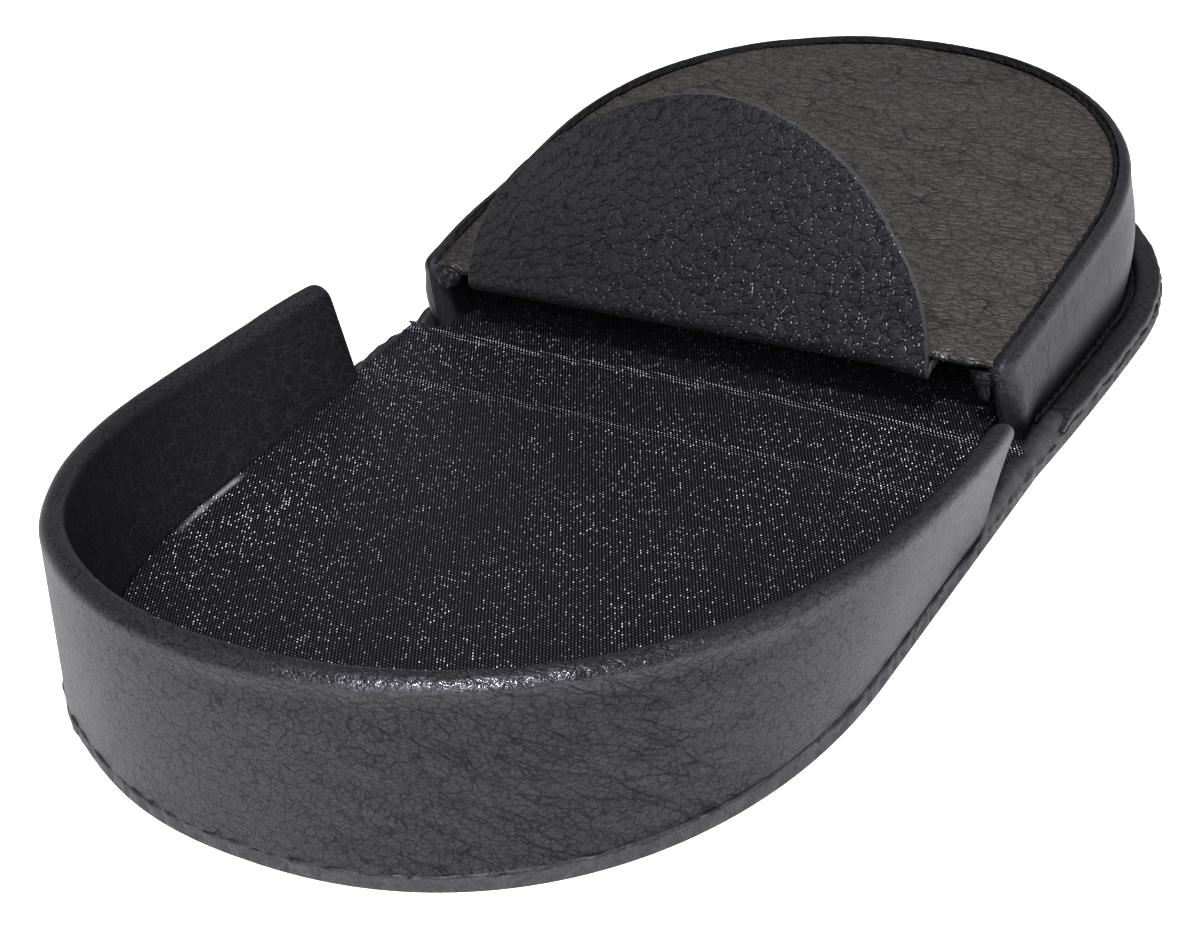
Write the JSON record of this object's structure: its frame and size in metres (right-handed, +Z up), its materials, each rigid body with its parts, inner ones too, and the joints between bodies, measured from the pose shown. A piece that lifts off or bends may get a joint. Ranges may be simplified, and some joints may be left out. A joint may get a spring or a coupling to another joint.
{
  "type": "tray coin purse",
  "caption": "Horseshoe tray coin purse of soft leather, laid open: a coin box with a tongue over its mouth, a folding spine, and a tray that folds over the box.",
  "frame": {"origin": "centre of the opened purse's base, on the surface that it lies on", "axes": "+Z up; +Y along the purse from the tray to the coin box; +X to the right, seen from the tray's end"},
  "size_m": [0.0876, 0.1592, 0.0351],
  "materials": {
    "smooth_leather": "black nappa, fine creased grain, soft sheen",
    "pebbled_leather": "black milled leather, soft pebble grain",
    "tongue_leather": "blue-black milled leather, strong pebble grain",
    "sole_leather": "black pebbled leather with a trimmed edge",
    "satin_lining": "black satin with fine ribs",
    "webbing": "black woven reinforcement",
    "fibre_board": "bonded leather fibre board, matt",
    "thread": "black polyester sewing thread"
  },
  "bodies": {
    "box": {"box_sole": "sole_leather", "box_base_board": "fibre_board", "box_floor_lining": "satin_lining", "box_lip_leather": "smooth_leather", "box_band_leather": "smooth_leather", "box_band_core": "fibre_board", "box_band_lining": "satin_lining", "box_top_leather": "pebbled_leather", "box_top_lining": "satin_lining", "top_seam_thread": "thread", "lip_seam_thread": "thread", "mouth_tuck_left": "smooth_leather", "mouth_tuck_right": "smooth_leather", "tongue_root": "tongue_leather"},
    "spine": {"spine_leather": "sole_leather", "spine_webbing": "webbing", "spine_lining": "satin_lining"},
    "tray": {"tray_sole": "sole_leather", "tray_board": "fibre_board", "tray_floor_lining": "satin_lining", "tray_wall_core": "fibre_board", "tray_wall_leather": "smooth_leather"},
    "tongue": {"tongue": "tongue_leather"}
  },
  "joints": [
    {"name": "spine_fold", "type": "hinge", "parent": "box", "child": "spine", "pos_m": [0, 0.00625, 0.003], "axis": [-1, 0, 0], "range_deg": [0, 82]},
    {"name": "tray_fold", "type": "hinge", "parent": "spine", "child": "tray", "pos_m": [0, -0.00515, 0.003], "axis": [-1, 0, 0], "range_deg": [0, 92]},
    {"name": "tongue_fold", "type": "hinge", "parent": "box", "child": "tongue", "pos_m": [0, 0.00815, 0.0109], "axis": [-1, 0, 0], "range_deg": [0, 65]}
  ],
  "couplings": [
    {"joint": "tongue_fold", "follows": "spine_fold", "ratio": 0.79268}
  ]
}
